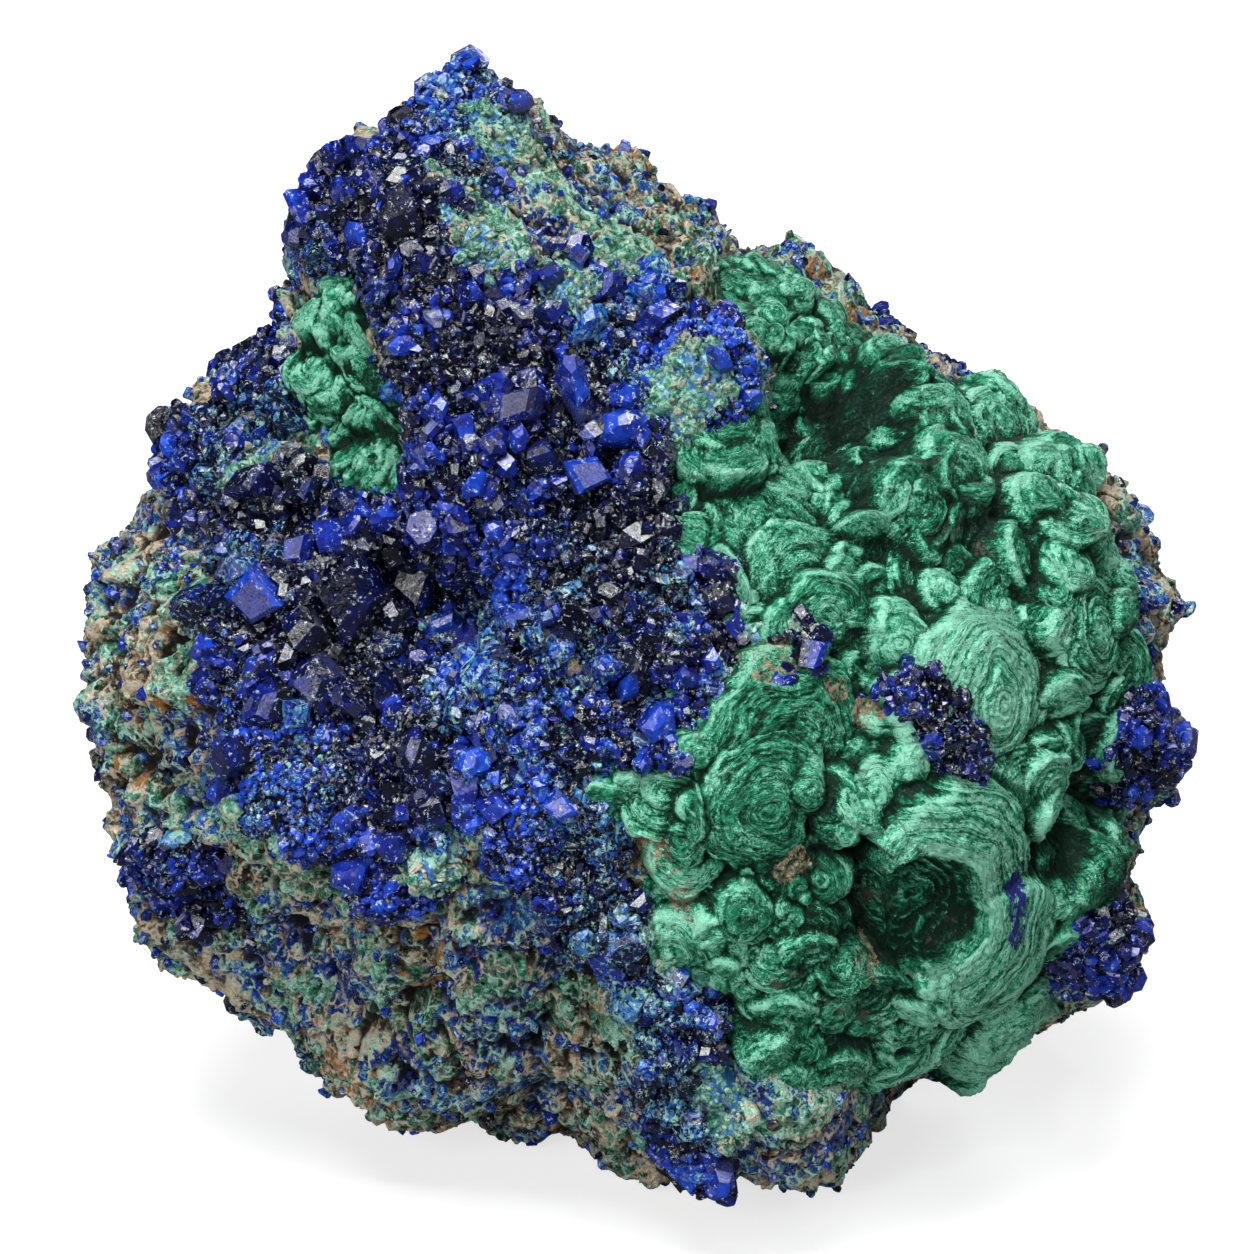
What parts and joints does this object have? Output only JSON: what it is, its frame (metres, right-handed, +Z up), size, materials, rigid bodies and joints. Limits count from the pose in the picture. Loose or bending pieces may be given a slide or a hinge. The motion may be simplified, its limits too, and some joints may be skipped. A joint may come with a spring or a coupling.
{
  "type": "azurite and malachite mineral specimen",
  "caption": "Lump of host rock with a crust of blocky deep blue azurite crystals and a mass of banded green malachite domes, resting on a worn flat.",
  "frame": {"origin": "centre of the bounding box, on the plane of the worn flat that the stone rests on", "axes": "+Z up, -Y towards the show face, +X to the right of the show face"},
  "size_m": [0.1085, 0.0825, 0.108],
  "materials": {
    "host_rock": "rough granular tan and brown rock with ochre, green and blue stains",
    "malachite": "silky banded green, pale mint on the rims and dark green in the hollows",
    "azurite": "glassy deep blue crystals with some frosted violet-grey faces"
  },
  "bodies": {
    "root": {"host_rock": "host_rock", "malachite_mass": "malachite", "malachite_seam": "malachite", "malachite_nodules": "malachite", "azurite_druse": "azurite", "azurite_knot": "azurite", "azurite_cluster_right": "azurite", "azurite_cluster_corner": "azurite", "azurite_cluster_upper": "azurite", "azurite_cluster_left": "azurite", "azurite_cluster_low_left": "azurite"}
  },
  "joints": []
}
